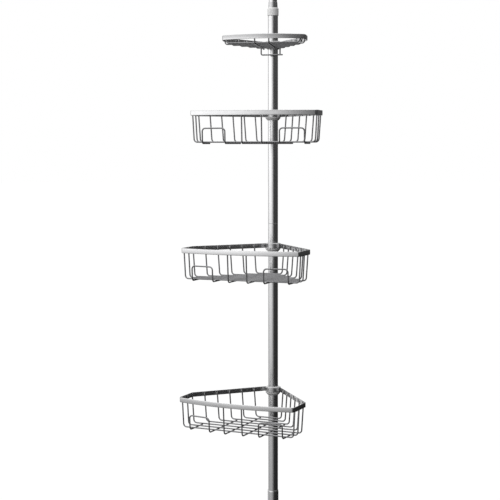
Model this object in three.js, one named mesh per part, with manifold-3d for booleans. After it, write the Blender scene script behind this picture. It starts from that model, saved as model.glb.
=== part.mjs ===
// A tension-pole shower caddy: three corner baskets and a soap dish on a telescoping pole.
// Millimetres, +Z up. The origin is on the pole's axis, at the underside of the floor pad.
// The shelves face -Y, and each is turned a few degrees about the pole, as it is left in use.
import * as THREE from 'three';
import { mergeVertices } from 'three/addons/utils/BufferGeometryUtils.js';
import Module from 'manifold-3d';

const wasm = await Module();
wasm.setup();

// ---- driving dimensions ------------------------------------------------------------------------
const GAP = 0.3; // between pieces that touch
const ROUND = 24; // facets round the pole

const POLE_R = 12.7; // outer tubes, one inch across
const POLE_WALL = 0.9;
const INNER_R = 10.4; // the tube that telescopes out of the top
const INNER_WALL = 0.9;
const PLUNGER_R = 8;
const PLUNGER_FLANGE = 12;
const CUP_L = 30; // ceiling cup, and how deep the plunger stands in it
const CUP_SEAT = 12;

const HEIGHT = 1700; // floor pad to ceiling pad at rest
const PAD_R = 29;
const PAD_H = 8;
const SOCKET_TOP = 70; // foot socket's rim
const SOCKET_FLOOR = 14; // where the lower tube stands in its socket
const SEAM_Z = 761; // joint between the two outer tubes
const COLLAR_Z = 1283; // underside of the lock collar
const COLLAR_H = 20;
const COLLAR_R = 14.1;
const NECK_H = 14; // thin neck above the collar
const COUPLER_L = 90;
const INNER_BOTTOM = 500; // lower end of the inner tube, at rest
const INNER_TOP = 1621;
const SPRING_Z = 1496; // seat of the tension spring
const SPRING_L = 92;
const SPRING_TURNS = 8;
const SPRING_WIRE_R = 0.9;
const SPRING_R = 6.6;

const WIRE_R = 1.75;
const WIRE_SIDES = 6;
const STRIP_T = 1.5; // flat bar of the rims
const WIRE_INSET = STRIP_T + 0.5 + WIRE_R; // rim's outer face to the middle of a wire inside it
const CROSSING = 2.8; // between the middles of two wires welded across each other
const HUB_R = 19.6;
const HUB_WALL = 1.5;
const CLAMP_DROP = 8; // taper of the clamp below the hub ring

const BASKET = {
  strip: 12,
  depth: 80,
  railStart: 20.6, // half-width where the wall rails leave the hub
  wallU: 158, // distance from the pole's axis to the wall corners
  frontU: 224, // and to the front corners
  halfWidth: 154.5,
  bow: 21, // how far the front edge bows out past its corners
  corner: 8,
  wallTaper: 4,
  frontTaper: 5,
  bend: 8,
  firstWire: 28,
  wirePitch: 26.3,
  wireCount: 8,
  frontWires: [24],
  guardFrom: 66,
  guardTo: 124,
  guardHeight: 36,
  tilt: 0, // of the rim and wires out of level, in degrees, front edge up
};
const DISH = {
  strip: 11.5,
  depth: 24,
  railStart: 20,
  wallU: 96,
  frontU: 122,
  halfWidth: 104,
  bow: 20,
  corner: 15,
  wallTaper: 3,
  frontTaper: 4,
  bend: 6,
  firstWire: 28,
  wirePitch: 18.5,
  wireCount: 6,
  frontWires: [17.5],
  guardFrom: 0,
  guardTo: 0,
  guardHeight: 0,
  tilt: 3.65,
};
const HANGER = { halfWidth: 24, drop: 15, tail: 7, bend: 4 };

// name, shape, height of the rim's top edge, turn about the pole in degrees
const SHELVES = [
  ['soap_dish', DISH, 1218.8, 4.5],
  ['upper_basket', BASKET, 1042, 3.8],
  ['middle_basket', BASKET, 710, -5],
  ['lower_basket', BASKET, 340, -8],
];

// ---- materials ---------------------------------------------------------------------------------
const satinSteel = new THREE.MeshStandardMaterial({ color: 0xb9bbbd, roughness: 0.35, metalness: 1 });
const wireSteel = new THREE.MeshStandardMaterial({ color: 0xa9abae, roughness: 0.3, metalness: 1 });
const springSteel = new THREE.MeshStandardMaterial({ color: 0x77797c, roughness: 0.45, metalness: 1 });
const greyPlastic = new THREE.MeshStandardMaterial({ color: 0xc4c5c4, roughness: 0.6, metalness: 0 });
const darkPlastic = new THREE.MeshStandardMaterial({ color: 0x55575a, roughness: 0.6, metalness: 0 });
const rubber = new THREE.MeshStandardMaterial({ color: 0x3a3b3d, roughness: 0.85, metalness: 0 });

// ---- solids ------------------------------------------------------------------------------------
function toSolid(geometry) {
  const bare = geometry.clone();
  bare.deleteAttribute('normal');
  bare.deleteAttribute('uv');
  const merged = mergeVertices(bare, 1e-4);
  return new wasm.Manifold(
    new wasm.Mesh({
      numProp: 3,
      vertProperties: new Float32Array(merged.attributes.position.array),
      triVerts: new Uint32Array(merged.index.array),
    }),
  );
}

function toGeometry(solid) {
  const mesh = solid.getMesh();
  const geometry = new THREE.BufferGeometry();
  geometry.setAttribute('position', new THREE.BufferAttribute(new Float32Array(mesh.vertProperties), 3));
  geometry.setIndex(new THREE.BufferAttribute(new Uint32Array(mesh.triVerts), 1));
  geometry.computeVertexNormals();
  return geometry;
}

function join(geometries) {
  return toGeometry(geometries.map(toSolid).reduce((whole, next) => whole.add(next)));
}

function cut(geometry, ...tools) {
  return toGeometry(tools.map(toSolid).reduce((whole, next) => whole.subtract(next), toSolid(geometry)));
}

// A body of revolution about Z from (radius, height) pairs, listed up the outside.
function turned(profile, sides = ROUND) {
  const points = profile.map(([r, z]) => new THREE.Vector2(r, z));
  return new THREE.LatheGeometry(points, sides).rotateX(Math.PI / 2);
}

function sleeve(innerR, outerR, bottom, top, sides = ROUND) {
  return turned([[innerR, bottom], [outerR, bottom], [outerR, top], [innerR, top], [innerR, bottom]], sides);
}

function block(width, depth, height, x, y, z) {
  return new THREE.BoxGeometry(width, depth, height).translate(x, y, z);
}

// Replaces each corner that has a radius by an arc of a few steps.
function rounded(corners, radii, steps) {
  const knots = [];
  corners.forEach((corner, i) => {
    const radius = radii[i] ?? 0;
    if (radius === 0) {
      knots.push(corner.clone());
      return;
    }
    const back = corners[i - 1].clone().sub(corner).normalize();
    const on = corners[i + 1].clone().sub(corner).normalize();
    const half = Math.acos(THREE.MathUtils.clamp(back.dot(on), -1, 1)) / 2;
    const middle = back.clone().add(on).normalize();
    const centre = corner.clone().addScaledVector(middle, radius / Math.sin(half));
    const from = corner.clone().addScaledVector(back, radius / Math.tan(half)).sub(centre);
    const to = corner.clone().addScaledVector(on, radius / Math.tan(half)).sub(centre);
    const sweep = Math.PI - 2 * half;
    for (let k = 0; k <= steps; k += 1) {
      const a = (sweep * k) / steps;
      const spoke = from.clone().multiplyScalar(Math.sin(sweep - a)).addScaledVector(to, Math.sin(a));
      knots.push(centre.clone().addScaledVector(spoke, 1 / Math.sin(sweep)));
    }
  });
  return knots;
}

// A wire's centre line: straight between its knots, which are also where its section is placed.
class BentWire extends THREE.Curve {
  constructor(knots) {
    super();
    this.knots = knots;
  }
  getPoint(t, target = new THREE.Vector3()) {
    const place = t * (this.knots.length - 1);
    const i = Math.min(Math.floor(place), this.knots.length - 2);
    return target.copy(this.knots[i]).lerp(this.knots[i + 1], place - i);
  }
  getSpacedPoints(divisions) {
    return this.getPoints(divisions);
  }
  getTangentAt(t) {
    const last = this.knots.length - 1;
    const i = Math.round(t * last);
    const before = this.knots[Math.max(i, 1)].clone().sub(this.knots[Math.max(i - 1, 0)]).normalize();
    const j = Math.min(i, last - 1);
    const after = this.knots[j + 1].clone().sub(this.knots[j]).normalize();
    return before.add(after).normalize();
  }
}

function wire(corners, radii, radius = WIRE_R, sides = WIRE_SIDES, steps = 2) {
  const knots = rounded(corners, radii, steps);
  const section = new THREE.Shape();
  for (let k = 0; k < sides; k += 1) {
    const a = (2 * Math.PI * k) / sides;
    section[k ? 'lineTo' : 'moveTo'](radius * Math.cos(a), radius * Math.sin(a));
  }
  return new THREE.ExtrudeGeometry(section, {
    steps: knots.length - 1,
    extrudePath: new BentWire(knots),
    bevelEnabled: false,
  });
}

// ---- a shelf's plan ----------------------------------------------------------------------------
// u runs from the pole towards the shelf's front (-Y) and v sideways (X), both from the pole's axis.
function plan(shape) {
  const slope = (shape.halfWidth - shape.railStart) / shape.wallU;
  const lean = Math.hypot(1, slope);
  const arcR = (shape.halfWidth ** 2 + shape.bow ** 2) / (2 * shape.bow);
  const arcU = shape.frontU + shape.bow - arcR;
  const front = (v, inset) => arcU + Math.sqrt((arcR - inset) ** 2 - v ** 2);
  // How far the rim, rounded at a corner where it turns by an angle, falls inside the sharp corner.
  const ease = (u, corner, turn) => {
    const reach = shape.corner * Math.tan(turn / 2);
    const fall = shape.corner * (1 / Math.cos(turn / 2) - 1);
    return fall * Math.max(0, 1 - Math.abs(u - corner) / reach);
  };
  const wallTurn = Math.atan(slope);
  const frontTurn = Math.PI / 2 - Math.asin(shape.halfWidth / arcR);
  const side = (u, inset) => {
    const rail = shape.railStart + slope * u - inset * lean;
    const bowed = Math.sqrt(Math.max((arcR - inset) ** 2 - (u - arcU) ** 2, 0));
    const sharp = Math.min(rail, shape.halfWidth - inset, bowed);
    return sharp - ease(u, shape.wallU, wallTurn) - ease(u, shape.frontU, frontTurn);
  };
  return { slope, front, side };
}

// The rim's outer face in plan, from the hub round to the hub again.
function rimLine(shape) {
  const { slope, front } = plan(shape);
  const start = -8;
  const frontSteps = 12;
  const half = [
    [start, shape.railStart + slope * start, 0],
    [shape.wallU, shape.halfWidth, shape.corner],
    [shape.frontU, shape.halfWidth, shape.corner],
  ];
  const bow = [];
  for (let k = 1; k < frontSteps; k += 1) {
    const v = shape.halfWidth * (1 - (2 * k) / frontSteps);
    bow.push([front(v, 0), v, 0]);
  }
  const mirrored = half.map(([u, v, r]) => [u, -v, r]).reverse();
  const all = [...half, ...bow, ...mirrored];
  return rounded(all.map(([u, v]) => new THREE.Vector2(v, -u)), all.map(([, , r]) => r), 3);
}

// Moves a line sideways by a distance, with its corners mitred.
function offset(line, distance) {
  return line.map((point, i) => {
    const before = point.clone().sub(line[Math.max(i - 1, 0)]);
    const after = line[Math.min(i + 1, line.length - 1)].clone().sub(point);
    const a = (before.lengthSq() ? before : after).clone().normalize();
    const b = (after.lengthSq() ? after : before).clone().normalize();
    const middle = a.clone().add(b).normalize();
    const normal = new THREE.Vector2(middle.y, -middle.x);
    return point.clone().addScaledVector(normal, distance / middle.dot(a));
  });
}

function rim(shape) {
  const outer = rimLine(shape);
  const inner = offset(outer, STRIP_T);
  const outline = new THREE.Shape([...outer, ...inner.reverse()]);
  const strip = new THREE.ExtrudeGeometry(outline, { depth: shape.strip, bevelEnabled: false });
  strip.translate(0, 0, -shape.strip);
  const hubSpace = new THREE.CylinderGeometry(HUB_R + GAP, HUB_R + GAP, 4 * shape.strip, ROUND);
  return cut(strip, hubSpace.rotateX(Math.PI / 2 + THREE.MathUtils.degToRad(shape.tilt)));
}

const at = (u, v, z) => new THREE.Vector3(v, -u, z);

function levels(shape) {
  const lower = -shape.depth + WIRE_R;
  return { top: -1.5, lower, upper: lower + CROSSING };
}

// Wires bent to a U: down one wall, across the floor and up the other.
function crossWires(shape) {
  const { side } = plan(shape);
  const { top, upper } = levels(shape);
  const wires = [];
  for (let k = 0; k < shape.wireCount; k += 1) {
    const u = shape.firstWire + k * shape.wirePitch;
    const v = side(u, WIRE_INSET);
    const foot = side(u, WIRE_INSET + shape.wallTaper);
    const corners = [at(u, v, top), at(u, foot, upper), at(u, -foot, upper), at(u, -v, top)];
    wires.push(wire(corners, [0, shape.bend, shape.bend, 0]));
  }
  return wires;
}

// The cross wire nearest the pole that a wire along v runs under.
function lastCrossing(shape, v) {
  const { side } = plan(shape);
  let u = shape.firstWire;
  while (side(u, WIRE_INSET + shape.wallTaper) < Math.abs(v) + 1) {
    u += shape.wirePitch;
  }
  return u - 2 * WIRE_R;
}

// Wires that come down inside the front and run back under the floor.
function frontWire(shape, v) {
  const { front } = plan(shape);
  const { top, lower } = levels(shape);
  const head = front(v, WIRE_INSET);
  const corners = [
    at(head, v, top),
    at(head - shape.frontTaper, v, lower),
    at(lastCrossing(shape, v), v, lower),
  ];
  return wire(corners, [0, shape.bend, 0]);
}

function wireFrame(shape) {
  const lengthways = shape.frontWires.flatMap((v) => [frontWire(shape, v), frontWire(shape, -v)]);
  return join([...crossWires(shape), ...lengthways]);
}

// A low hoop inside the front whose legs run back under the floor, just below the cross wires.
function guard(shape, side) {
  const { front } = plan(shape);
  const { upper } = levels(shape);
  const floor = upper - 2 * WIRE_R - GAP;
  const crown = floor + shape.guardHeight;
  const rise = (shape.frontTaper * shape.guardHeight) / shape.depth;
  const leg = (v) => {
    const foot = front(v, WIRE_INSET) - shape.frontTaper;
    return [at(lastCrossing(shape, v), v, floor), at(foot, v, floor), at(foot + rise, v, crown)];
  };
  const near = leg(side * shape.guardFrom);
  const far = leg(side * shape.guardTo);
  const b = shape.bend;
  return wire([...near, ...far.reverse()], [0, b, b, b, b, 0]);
}

// The bar under the soap dish: a loop that hangs from its rearmost wire, with a turned-out tail.
function hanger() {
  const { upper } = levels(DISH);
  const top = upper - WIRE_R - GAP;
  const low = top - HANGER.drop;
  const u = DISH.firstWire;
  const { halfWidth, tail, bend } = HANGER;
  const bar = [at(u, -halfWidth, top), at(u, -halfWidth, low), at(u, halfWidth + tail, low)];
  const leg = [at(u, halfWidth, top), at(u, halfWidth, low)];
  return join([wire(bar, [0, bend, 0]), wire(leg, [0, 0])]);
}

function hub(shape) {
  return sleeve(HUB_R - HUB_WALL, HUB_R, -shape.strip, 0);
}

// Half of the split plastic clamp: a sleeve in the hub ring, a ledge under it and a taper below.
function clampHalf(shape, side) {
  const bore = POLE_R + GAP;
  const sleeveR = HUB_R - HUB_WALL - GAP;
  const ledge = -shape.strip - GAP;
  const whole = turned([
    [bore, ledge - CLAMP_DROP],
    [bore + 0.9, ledge - CLAMP_DROP],
    [HUB_R - 0.4, ledge - 1.2],
    [HUB_R - 0.4, ledge],
    [sleeveR, ledge],
    [sleeveR, 0.4],
    [sleeveR - 0.8, 1.2],
    [bore, 1.2],
    [bore, ledge - CLAMP_DROP],
  ]);
  const half = 4 * HUB_R;
  return cut(whole, block(half, half, half, 0, side * (half / 2 - GAP / 2), 0));
}

// ---- the pole ----------------------------------------------------------------------------------
function floorPad() {
  return turned([[0, 0], [PAD_R - 1, 0], [PAD_R, 1.5], [PAD_R, PAD_H - 1], [PAD_R - 1, PAD_H], [0, PAD_H]]);
}

// A socket for a tube's end that spreads to the width of its pad. It is drawn standing on z = 0.
function endCup(length, seat, bore, lip) {
  const spread = PAD_R - 1.5;
  return turned([
    [0, 0],
    [spread, 0],
    [spread, 4],
    [spread - 6, 8],
    [lip + 2.5, 16],
    [lip, 24],
    [lip, length - 5],
    [bore + 0.5, length],
    [bore, length],
    [bore, seat],
    [0, seat],
  ]);
}

function lockCollar() {
  const collar = COLLAR_R;
  const mouth = INNER_R + GAP;
  const noseR = POLE_R + GAP;
  return turned([
    [noseR, 0],
    [collar - 0.6, 0],
    [collar, 0.8],
    [collar, COLLAR_H - 2.6],
    [collar - 1.1, COLLAR_H],
    [mouth + 1.2, COLLAR_H],
    [mouth + 0.5, COLLAR_H + NECK_H],
    [mouth, COLLAR_H + NECK_H],
    [mouth, COLLAR_H - 3],
    [noseR, COLLAR_H - 5],
    [noseR, 0],
  ]).translate(0, 0, COLLAR_Z);
}

// The split ring that the lock collar squeezes on the inner tube; its stem sits in the upper tube.
function collet() {
  const bore = INNER_R + GAP;
  const stem = POLE_R - POLE_WALL - GAP;
  const flange = POLE_R;
  const noseTop = COLLAR_H - 6;
  const ring = turned([
    [bore, -24],
    [stem, -24],
    [stem, GAP],
    [flange - GAP, GAP],
    [flange - GAP, noseTop - 3],
    [bore + 0.9, noseTop],
    [bore, noseTop],
    [bore, -24],
  ]);
  const slotH = noseTop - 3;
  const slots = [0, Math.PI / 2].map((turn) =>
    block(3 * POLE_R, 1.6, slotH, 0, 0, 3 + slotH / 2).rotateZ(turn),
  );
  return cut(ring, ...slots).translate(0, 0, COLLAR_Z);
}

function spring() {
  const stepsPerTurn = 8;
  const steps = SPRING_TURNS * stepsPerTurn;
  const climb = SPRING_L - 2 * SPRING_WIRE_R - 2 * GAP;
  const knots = [];
  for (let k = 0; k <= steps; k += 1) {
    const a = (2 * Math.PI * k) / stepsPerTurn;
    const z = SPRING_Z + SPRING_WIRE_R + GAP + (climb * k) / steps;
    knots.push(new THREE.Vector3(SPRING_R * Math.cos(a), SPRING_R * Math.sin(a), z));
  }
  return wire(knots, [], SPRING_WIRE_R, 5);
}

const innerBore = INNER_R - INNER_WALL;
const plungerFoot = SPRING_Z + SPRING_L;
const bushFoot = plungerFoot + PLUNGER_FLANGE + GAP;
const cupSeat = HEIGHT - PAD_H - GAP - CUP_SEAT;

// ---- assembly ----------------------------------------------------------------------------------
const caddy = new THREE.Group();

function place(parent, name, geometry, material) {
  const mesh = new THREE.Mesh(geometry, material);
  mesh.name = name;
  parent.add(mesh);
  return mesh;
}

const tubeBore = POLE_R - POLE_WALL;
place(caddy, 'floor_pad', floorPad(), rubber);
place(
  caddy,
  'foot_socket',
  endCup(SOCKET_TOP - PAD_H - GAP, SOCKET_FLOOR - PAD_H - GAP, POLE_R + GAP, POLE_R + 1.4),
  satinSteel,
).position.z = PAD_H + GAP;
place(caddy, 'lower_tube', sleeve(tubeBore, POLE_R, SOCKET_FLOOR + GAP, SEAM_Z - GAP / 2), satinSteel);
place(
  caddy,
  'tube_coupler',
  sleeve(INNER_R + GAP, tubeBore - GAP, SEAM_Z - COUPLER_L / 2, SEAM_Z + COUPLER_L / 2),
  springSteel,
);
place(caddy, 'upper_tube', sleeve(tubeBore, POLE_R, SEAM_Z + GAP / 2, COLLAR_Z), satinSteel);
place(caddy, 'collet', collet(), darkPlastic);
place(caddy, 'lock_collar', lockCollar(), greyPlastic);

place(caddy, 'inner_tube', sleeve(innerBore, INNER_R, INNER_BOTTOM, INNER_TOP), satinSteel);
place(
  caddy,
  'inner_end_plug',
  turned([
    [0, INNER_BOTTOM - 3],
    [INNER_R - 0.5, INNER_BOTTOM - 3],
    [INNER_R, INNER_BOTTOM - 2],
    [INNER_R, INNER_BOTTOM - GAP],
    [innerBore - GAP, INNER_BOTTOM - GAP],
    [innerBore - GAP, INNER_BOTTOM + 15],
    [0, INNER_BOTTOM + 15],
  ]),
  darkPlastic,
);
place(
  caddy,
  'spring_seat',
  turned([
    [0, SPRING_Z - 8],
    [innerBore - GAP, SPRING_Z - 8],
    [innerBore - GAP, SPRING_Z],
    [5.2, SPRING_Z],
    [4.6, SPRING_Z + 8],
    [0, SPRING_Z + 8],
  ]),
  darkPlastic,
);
place(caddy, 'tension_spring', spring(), springSteel);
place(
  caddy,
  'plunger_bush',
  turned([
    [PLUNGER_R + GAP, bushFoot],
    [innerBore - GAP, bushFoot],
    [innerBore - GAP, INNER_TOP + GAP],
    [INNER_R, INNER_TOP + GAP],
    [INNER_R, INNER_TOP + 3],
    [INNER_R - 1, INNER_TOP + 4],
    [PLUNGER_R + GAP, INNER_TOP + 4],
    [PLUNGER_R + GAP, bushFoot],
  ]),
  greyPlastic,
);
place(
  caddy,
  'plunger',
  turned([
    [0, plungerFoot],
    [innerBore - GAP, plungerFoot],
    [innerBore - GAP, plungerFoot + PLUNGER_FLANGE],
    [PLUNGER_R, plungerFoot + PLUNGER_FLANGE],
    [PLUNGER_R, cupSeat - GAP],
    [0, cupSeat - GAP],
  ]),
  satinSteel,
);
const ceilingCup = place(
  caddy,
  'ceiling_cup',
  endCup(CUP_L, CUP_SEAT, PLUNGER_R + GAP, PLUNGER_R + 3),
  greyPlastic,
);
ceilingCup.rotation.x = Math.PI;
ceilingCup.position.z = HEIGHT - PAD_H - GAP;
const ceilingPad = place(caddy, 'ceiling_pad', floorPad(), rubber);
ceilingPad.rotation.x = Math.PI;
ceilingPad.position.z = HEIGHT;

for (const [name, shape, height, turn] of SHELVES) {
  const shelf = new THREE.Group();
  shelf.position.z = height;
  shelf.rotation.z = THREE.MathUtils.degToRad(turn);
  caddy.add(shelf);
  const tray = new THREE.Group();
  tray.rotation.x = -THREE.MathUtils.degToRad(shape.tilt);
  shelf.add(tray);
  place(tray, `${name}_rim`, rim(shape), satinSteel);
  place(shelf, `${name}_hub`, hub(shape), satinSteel);
  place(tray, `${name}_wires`, wireFrame(shape), wireSteel);
  if (shape.guardHeight) {
    place(tray, `${name}_guard_left`, guard(shape, -1), wireSteel);
    place(tray, `${name}_guard_right`, guard(shape, 1), wireSteel);
  } else {
    place(tray, `${name}_hanger`, hanger(), wireSteel);
  }
  place(shelf, `${name}_clamp_front`, clampHalf(shape, 1), greyPlastic);
  place(shelf, `${name}_clamp_back`, clampHalf(shape, -1), greyPlastic);
}

export default caddy;
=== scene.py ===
"""The looks of a tension-pole shower caddy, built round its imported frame."""

import math

import bmesh
import bpy
from mathutils import Matrix, Vector


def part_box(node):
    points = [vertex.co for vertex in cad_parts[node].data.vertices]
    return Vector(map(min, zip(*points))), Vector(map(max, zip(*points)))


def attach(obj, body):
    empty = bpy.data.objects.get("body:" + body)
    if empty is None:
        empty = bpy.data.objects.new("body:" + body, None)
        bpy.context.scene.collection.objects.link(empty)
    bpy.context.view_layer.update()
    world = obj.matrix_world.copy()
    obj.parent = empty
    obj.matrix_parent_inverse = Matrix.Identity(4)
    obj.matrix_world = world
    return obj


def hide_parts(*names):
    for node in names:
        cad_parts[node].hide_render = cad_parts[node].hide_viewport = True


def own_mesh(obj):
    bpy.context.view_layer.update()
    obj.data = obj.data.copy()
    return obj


bl_info = {
    "name": "Shower Caddy",
    "version": (1, 0, 0),
    "blender": (4, 5, 0),
    "location": "View3D > Sidebar > Caddy",
    "description": "A tension-pole shower caddy with wire baskets and a soap dish",
    "category": "Add Mesh",
}

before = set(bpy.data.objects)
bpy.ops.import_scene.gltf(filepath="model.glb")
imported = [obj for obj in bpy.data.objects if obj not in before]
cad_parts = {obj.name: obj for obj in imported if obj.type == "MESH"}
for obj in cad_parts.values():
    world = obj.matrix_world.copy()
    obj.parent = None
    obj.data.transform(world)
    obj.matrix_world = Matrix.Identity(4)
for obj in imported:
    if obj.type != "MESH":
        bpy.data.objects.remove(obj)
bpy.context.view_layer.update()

Z = Vector((0, 0, 1))
FULL_TURN = 2 * math.pi

# ---- how finely the shapes are made -------------------------------------------------------------
SHARP_ANGLE = math.radians(32)  # an edge that turns more than this is a hard one
STRIP_SHARP_ANGLE = math.radians(60)  # and on the rims, where only the bar's own edges are rounded
ROUND_STEPS = 72  # round the pole and everything on its axis
WIRE_SIDES = 14
BEND_STEPS = 7  # in the bend of a wire
WALL_STEPS = 6  # in the rim's corner at the end of a wall rail
CORNER_STEPS = 10  # in its front corners
FRONT_STEPS = 48  # along its bowed front
CROWN_STEPS = 8  # across each face of the flat bar
SPRING_SIDES = 10
SPRING_STEPS = 32  # to a turn

# ---- the shelves' plan, in metres ---------------------------------------------------------------
BASKET = {
    "depth": 0.080,  # from the rim's top edge to the underside of the floor
    "rail_start": 0.0206,  # half-width where the wall rails leave the hub
    "wall_reach": 0.158,  # from the pole's axis to the wall corners
    "front_reach": 0.224,  # and to the front corners
    "half_width": 0.1545,
    "bow": 0.021,  # of the front edge past its corners
    "corner": 0.008,
    "wall_taper": 0.004,
    "front_taper": 0.005,
    "bend": 0.008,
    "first_wire": 0.028,
    "wire_pitch": 0.0263,
    "wire_count": 8,
    "front_wire": 0.024,
    "guard": (0.066, 0.124, 0.036),  # near leg, far leg, height
    "tilt": 0.0,  # of the tray on its hub, front edge up
}
DISH = {
    "depth": 0.024,
    "rail_start": 0.020,
    "wall_reach": 0.096,
    "front_reach": 0.122,
    "half_width": 0.104,
    "bow": 0.020,
    "corner": 0.015,
    "wall_taper": 0.003,
    "front_taper": 0.004,
    "bend": 0.006,
    "first_wire": 0.028,
    "wire_pitch": 0.0185,
    "wire_count": 6,
    "front_wire": 0.0175,
    "guard": None,
    "tilt": math.radians(3.65),
}
# how far each shelf is turned about the pole, in degrees
SHELF_TURNS = {"soap_dish": 4.5, "upper_basket": 3.8, "middle_basket": -5, "lower_basket": -8}

# ---- other sizes, in metres ---------------------------------------------------------------------
GAP = 0.0003  # between pieces that touch
TUBE_WALL = 0.0009
COLLAR_HEIGHT = 0.020  # of the lock collar, without its neck
PLUNGER_RADIUS = 0.008
PLUNGER_FLANGE = 0.012  # height of the flange that the spring presses
SPRING_WIRE = 0.0009
SPRING_PLAY = 0.0004  # between the spring and the plunger that rests on it
HUB_RADIUS = 0.0196
HUB_WALL = 0.0015
STRIP_CROWN = 0.00013  # of the flat bar's rolled faces
WIRE_TOP = -0.0015  # where a wire ends below the rim's top edge
WIRE_END = 0.35  # rounding of a wire's cut end, in wire radii
CROSS_PAST = 0.001  # least that a cross wire reaches past a wire that it is welded to
FRONT_CLEAR = 0.008  # from the front to the nearest such weld
NUGGET_FLAT = 0.62  # height of a weld nugget, in widths
HEAD_WIDTH = 1.14  # of a wire's welded head, in wires
HEAD_HEIGHT = 0.86  # of the same, in strips
HUB_WELDS = (0.2, 0.5, 0.8)  # where a rail is welded down the hub, in strips
HANGER_HALF = 0.024  # half the width of the loop under the dish
HANGER_DROP = 0.01425  # from the dish's front wires down to the loop's bar
HANGER_TAIL = 0.007
HANGER_BEND = 0.004
TUBE_EDGE = 0.0003  # rounding of the ends of tubes, collar and bush
FINE_EDGE = 0.0002  # of the collar's neck and the pads
HUB_EDGE = 0.0004  # of the hub rings and the plunger
CUP_EDGE = 0.0007  # of the foot socket and the ceiling cup
BRUSH_DEPTH = 0.00002  # of the lines in brushed steel
GRAIN_DEPTH = 0.00004  # of the skin on moulded pieces

# ---- the camera ---------------------------------------------------------------------------------
CAMERA_AZIMUTH = math.radians(16)
CAMERA_DISTANCE = 3.264
CAMERA_HEIGHT = 0.960
CAMERA_PITCH = math.radians(4.68)
CAMERA_SWING = math.radians(1.022)  # aims a little to the left of the pole
CAMERA_ROLL = math.radians(0.096)
CAMERA_LENS = 92.4

# ---- the stage ----------------------------------------------------------------------------------
FLOOR_RADIUS = 30
FLOOR_GLOW = 0.97  # the floor's own white
FLOOR_WHITE = 0.03  # and what it adds where light falls on it
LIGHT_TARGET = Vector((0, 0, 1.0))
# each softbox: (right, front, up) from the target in the camera's view, (width, height), power
SOFTBOXES = {
    "Key": ((-1.82, 1.6, 0.72), (2.4, 2.6), 30),
    "Top": ((-0.5, 0.6, 2.4), (1.6, 1.6), 20),
}

# the room that the steel mirrors: (height of the direction, brightness), from straight down to up
ROOM_LEFT = (
    (-1.0, 0.2),
    (-0.26, 0.56),
    (-0.2, 0.76),
    (-0.08, 1.5),
    (0.03, 3.1),
    (0.2, 1.0),
    (0.6, 1.6),
    (1.0, 3.0),
)
ROOM_RIGHT = ((-1.0, 0.05), (-0.2, 0.022), (0.0, 0.085), (0.35, 0.16), (0.65, 1.3), (1.0, 3.0))
ROOM_SPLIT = (0.0, 1.05)  # from right to left, as the cosine of the angle to its brightest side
BRIGHT_ABOVE = (-0.95, 0.31)  # that side, as (right, front) in the camera's view
BRIGHT_BELOW = (-0.87, 0.49)  # and low down
BRIGHT_RISE = (-0.2, 0.0)  # heights between which it goes from the one to the other
BACKDROP = 0.95  # brightness of the wall behind the caddy
BACKDROP_SIDE = (-0.5, -0.866)  # where its middle is, as (right, front)
BACKDROP_EDGE = (0.62, 0.93)  # cosines at its soft edge, from outside to inside


class CaddySizes(bpy.types.PropertyGroup):
    """Sizes of stock and details that the frame leaves free."""

    wire: bpy.props.FloatProperty(
        name="Wire radius", description="Radius of the basket wire", default=0.00175, unit="LENGTH"
    )
    strip: bpy.props.FloatProperty(
        name="Strip thickness", description="Thickness of the rims", default=0.0015, unit="LENGTH"
    )
    strip_edge: bpy.props.FloatProperty(
        name="Strip edge", description="Rounding of the flat bar's edges", default=0.0007, unit="LENGTH"
    )
    sink: bpy.props.FloatProperty(
        name="Weld sink", description="How far a welded wire sinks in", default=0.0002, unit="LENGTH"
    )
    weld: bpy.props.FloatProperty(
        name="Weld nugget", description="Radius of a weld nugget", default=0.0017, unit="LENGTH"
    )
    clamp_edge: bpy.props.FloatProperty(
        name="Clamp edge", description="Rounding of the clamps' edges", default=0.00036, unit="LENGTH"
    )


class CaddyFinishes(bpy.types.PropertyGroup):
    """Colours and gloss of the caddy's finishes."""

    steel: bpy.props.FloatVectorProperty(
        name="Steel", description="Colour of the tubes", subtype="COLOR", default=(0.5, 0.5, 0.505)
    )
    strip: bpy.props.FloatVectorProperty(
        name="Strip", description="Colour of the rims", subtype="COLOR", default=(0.48, 0.48, 0.485)
    )
    wire: bpy.props.FloatVectorProperty(
        name="Wire", description="Colour of the wires", subtype="COLOR", default=(0.2, 0.2, 0.205)
    )
    plastic: bpy.props.FloatVectorProperty(
        name="Plastic",
        description="Colour of clamps and collar",
        subtype="COLOR",
        default=(0.46, 0.46, 0.46),
    )
    dark: bpy.props.FloatVectorProperty(
        name="Dark plastic",
        description="Colour of the inner plugs",
        subtype="COLOR",
        default=(0.09, 0.09, 0.1),
    )
    rubber: bpy.props.FloatVectorProperty(
        name="Rubber", description="Colour of the pads", subtype="COLOR", default=(0.05, 0.05, 0.055)
    )
    tube_gloss: bpy.props.FloatProperty(
        name="Tube roughness", description="Roughness of the tubes", default=0.24, subtype="FACTOR"
    )
    wire_gloss: bpy.props.FloatProperty(
        name="Wire roughness", description="Roughness of the wires", default=0.3, subtype="FACTOR"
    )


# ---- node groups --------------------------------------------------------------------------------
def add_node(tree, kind, **values):
    """A node of that kind with its settings and, by name, its inputs."""
    node = tree.nodes.new(kind)
    for key, value in values.items():
        if hasattr(node, key):
            setattr(node, key, value)
        else:
            node.inputs[key.replace("_", " ")].default_value = value
    return node


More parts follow.
